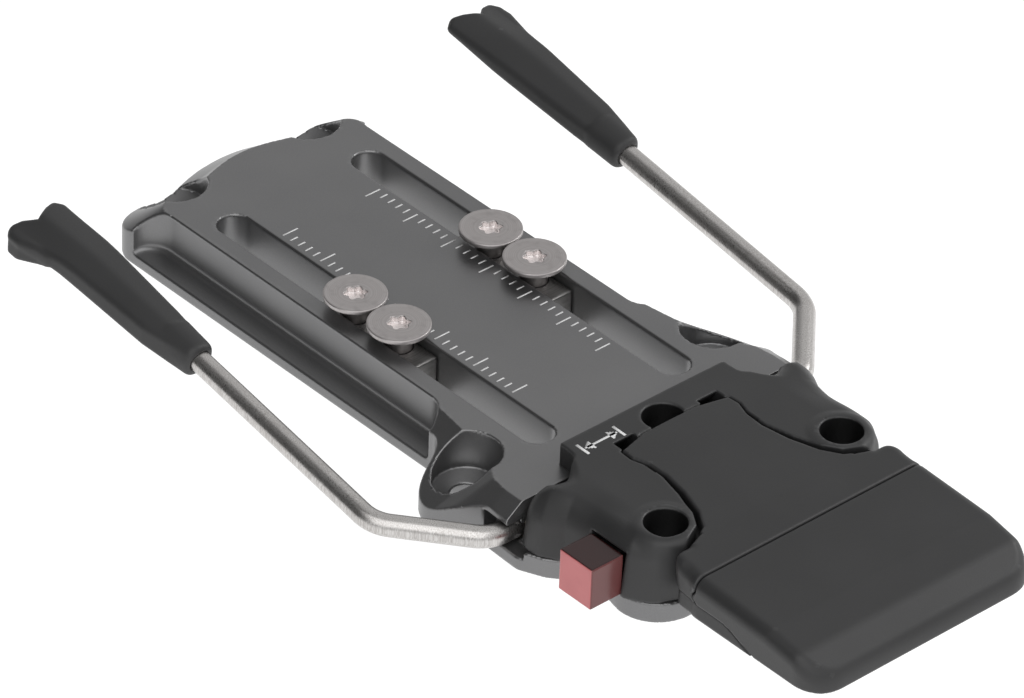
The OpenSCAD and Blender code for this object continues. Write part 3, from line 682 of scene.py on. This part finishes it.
paddle_points, paddle_faces = carve(paddle_field, (-0.2, -4.4, -5), (44.8, 8.5, 3.2), 0.28)
along = (np.array(TAIL) - ELBOW) / np.linalg.norm(np.array(TAIL) - ELBOW)
outward = np.cross((0.0, 0.0, 1.0), along)
outward /= np.linalg.norm(outward)
upward = np.cross(along, outward)
collar_point = np.array(ELBOW) + 0.585 * (np.array(TAIL) - ELBOW)
paddle_points = collar_point + paddle_points @ np.array([along, outward, upward])
paddle = (paddle_points, paddle_faces)
add_piece("paddle_blade_right", *paddle, BLACK_PADDLE, "brake", "black_plastic", ["paddle_right"])
add_piece("paddle_blade_left", *mirrored(*paddle), BLACK_PADDLE, "brake", "black_plastic", ["paddle_left"])

# %% [markdown]
# ## Clamps
# Each slot holds a milled bar with two threaded holes. Wide flat-headed screws with a six-lobe socket go
# into it; they clamp the heel unit's foot, and with none there their heads stand off the plate.

# %% Nut bars and screws
def bar_field(x, y, z):
    neck = box_field(x, y, z, -12.45, 12.45, -3, 3, 0.3, 9.2, 0.35)
    foot = box_field(x, y, z, -12.45, 12.45, -4.9, 4.9, 0.3, 2.6, 0.3)
    return without(either(neck, foot, 0.2), disc(np.abs(x), y, 5.7, 0, 2.52), 0.3)

def screw_field(x, y, z):
    r = np.hypot(x, y)
    head = both(r - 5.65, between(z, 13.2, 14.1), 0.22)
    thread = 0.16 * np.abs(((z / 0.8 + np.arctan2(y, x) / (2 * math.pi)) % 1.0) * 2 - 1)
    shank = both(r - 2.45 + np.where(z < 9.0, thread, 0), between(z, 0.8, 13.4), 0.3)
    screw = either(head, shank, 0.4)
    angle = np.arctan2(y, x)
    lobe = 1.8 + 0.27 * np.cos(6 * angle)
    return without(screw, np.maximum(r - lobe, 12.9 - z), 0.15)

bar_points, bar_faces = carve(bar_field, (-12.5, -5, 0.2), (12.5, 5, 9.3), 0.25)
screw_points, screw_faces = carve(screw_field, (-5.7, -5.7, 0.7), (5.7, 5.7, 14.2), 0.17)
for side, flip in (("left", 1), ("right", -1)):
    clamp = (f"clamp_{side}", "screw_steel")
    slot_y = 15.55 * flip
    add_piece(f"slot_bar_{side}", bar_points + (0, slot_y, 0), bar_faces, BAR, *clamp, [f"nut_bar_{side}"])
    pair = np.concatenate([screw_points + (5.7 * s, slot_y, 0) for s in (-1, 1)])
    faces = np.concatenate([screw_faces, screw_faces + len(screw_points)])
    add_piece(f"flat_screws_{side}", pair, faces, SCREW, *clamp, [f"clamp_screws_{side}"])

# %% [markdown]
# ## Walk-mode lock
# The red button is a thin-walled cap moulded over the black post of the bolt, so the post is cut out of it
# with a little play all round.

# %% Button and bolt
def post_plan(x, y, grow):
    neck = np.maximum(between(x, 70, 75.5), between(y, -31.4, -28.4))
    return np.minimum(disc(x, y, 72.75, -31.4, 2.75), neck) - grow

def button_field(x, y, z):
    shell = box_field(x, y, z, 68.8, 76.7, -35.4, -28.3, 3.9, 12.1, 0.3)
    return without(shell, np.maximum(post_plan(x, y, 0.12), between(z, 5.05, 11.1)), 0.2)

def bolt_field(x, y, z):
    bolt = box_field(x, y, z, 69.15, 73.55, -28.88, -12, 6, 10, 0.3)
    post = both(post_plan(x, y, 0), between(z, 5.1, 11), 0.5)
    return either(bolt, post, 0.2)

button = carve(button_field, (68.7, -35.5, 3.8), (76.8, -28.2, 12.2), 0.15)
bolt = carve(bolt_field, (69, -34.3, 5), (75.6, -11.9, 11.1), 0.2)
add_piece("push_button", *button, RED, "lock", "red_translucent", ["lock_button"])
add_piece("bolt_and_post", *bolt, BLACK_FRAME, "lock", "black_carrier", ["lock_bolt"])

# %% [markdown]
# ## Marks
# The makers etch a scale beside the slots, so that both clamps can be set alike, and mark the housing
# with the ski width the brake is for. Here both are generic: plain ticks, and a width symbol of two bars and
# an arrow. Each is a thin box, let in so far that it stands a hundredth of a millimetre proud.

# %% Marks
def mark_box(x0, x1, y0, y1, z):
    corners = [(x, y, h) for h in (z - 0.3, z + 0.012) for x, y in ((x0, y0), (x1, y0), (x1, y1), (x0, y1))]
    faces = [(3, 2, 1, 0), (4, 5, 6, 7), (0, 1, 5, 4), (1, 2, 6, 5), (2, 3, 7, 6), (3, 0, 4, 7)]
    return corners, faces

def gather(boxes):
    points, faces = [], []
    for corners, sides in boxes:
        faces += [tuple(i + len(points) for i in f) for f in sides]
        points += corners
    return points, faces

ticks = []
for n in range(-15, 16):
    length = 3.4 if n % 5 == 0 else 1.7
    for flip in (1, -1):
        low, high = sorted((flip * (11.2 - length), flip * 11.2))
        ticks.append(mark_box(2 * n - 0.16, 2 * n + 0.16, low, high, 11.0))
add_piece("scale_ticks", *gather(ticks), MARK, "base", "anodised_aluminium")

width_sign = [mark_box(52.3, 55.5, y, y + 0.55, 15.3) for y in (-17.2, -9.0)]
width_sign += [mark_box(53.65, 54.15, -15.9, -9.6, 15.3)]
for tip, way in ((-16.4, 1), (-9.2, -1)):
    for n in range(4):
        low, high = sorted((tip + way * 0.42 * n, tip + way * 0.42 * (n + 1)))
        width_sign.append(mark_box(53.9 - 0.3 * (n + 0.6), 53.9 + 0.3 * (n + 0.6), low, high, 15.3))
add_piece("width_sign", *gather(width_sign), MARK, "base", "black_plastic")

# %% [markdown]
# ## The rest of the CAD
# Screws from below, bushes, pins, buffers and the lock's friction pad already have the right shape, so they
# stay as they are and only get their finish.

# %% Finishes on CAD nodes
KEPT = {"housing_screws": PIN, "pedal_screws": PIN, "hub_pins": PIN, "lock_pin": PIN, "arm_bush_left": BUSH,
        "arm_bush_right": BUSH, "lock_friction_pad": BUSH, "pedal_buffers": RUBBER}
for node, finish in KEPT.items():
    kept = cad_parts[node]
    for cad_material in kept.material_slots:
        cad_material.material = finish
    print(node, "keeps its shape")

# %% [markdown]
# ## Studio
# A pale floor well below the object and soft light from all round, as in a light tent: the floor lights
# the side faces, the sky is a little darker so that the metal's top reads darker than its sides, and one
# side of the tent is black cloth, which draws the sloped faces and the broken edges as dark lines.

# %% Floor, sky and lamps
floor_mesh = bpy.data.meshes.new("floor")
floor_mesh.from_pydata([(-6, -6, -0.1), (6, -6, -0.1), (6, 6, -0.1), (-6, 6, -0.1)], [], [(0, 1, 2, 3)])
floor = bpy.data.objects.new("floor", floor_mesh)
bpy.context.scene.collection.objects.link(floor)
floor_finish = Finish("pale_floor", Roughness=0.9)
floor_finish.surface.inputs["Base Color"].default_value = (0.5, 0.5, 0.5, 1)
floor_finish.surface.inputs["Specular IOR Level"].default_value = 0.0
floor_finish.surface.inputs["Emission Color"].default_value = (1, 1, 1, 1)
floor_finish.surface.inputs["Emission Strength"].default_value = 0.72
floor_mesh.materials.append(floor_finish.material)
floor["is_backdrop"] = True

DARK_SIDE = (-0.594, -0.583, 0.554)
world = bpy.data.worlds.new("tent")
world.use_nodes = True
sky = Finish.__new__(Finish)   # the same node helpers, on the world's nodes instead of a material's
sky.tree = world.node_tree
toward = sky.node("ShaderNodeTexCoord", output="Generated")
facing = sky.node("ShaderNodeVectorMath", {"operation": "DOT_PRODUCT"}, {0: toward, 1: DARK_SIDE}, output=1)
shade = sky.node("ShaderNodeMapRange", {"interpolation_type": "SMOOTHSTEP"},
                 {"Value": facing, "From Min": 0.5, "From Max": 0.9})
background = world.node_tree.nodes["Background"]
sky.feed(background.inputs["Color"], sky.blend(shade, (1.0, 1.0, 1.0), (0.1, 0.1, 0.1)))
background.inputs["Strength"].default_value = 0.66
bpy.context.scene.world = world
bpy.context.scene.view_settings.view_transform = "Standard"

def lamp(name, place, size, power):
    data = bpy.data.lights.new(name, "AREA")
    data.size, data.energy = size, power
    made = bpy.data.objects.new(name, data)
    bpy.context.scene.collection.objects.link(made)
    made.location = place
    made.rotation_mode = "QUATERNION"
    made.rotation_quaternion = (Vector(place) - Vector((0.03, 0, 0.01))).to_track_quat("Z", "Y")
    print(name, "lamp:", power, "W")

lamp("key", (0.55, -0.62, 0.95), 1.4, 6.5)
lamp("rim", (0.3, 0.7, 0.5), 0.4, 2.0)

# %% [markdown]
# ## Finish
# The box of the finished looks is printed, in millimetres.

# %% Sizes and finish
low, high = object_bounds()
print("visual box, mm:", [round((b - a) / MM, 1) for a, b in zip(low, high)])
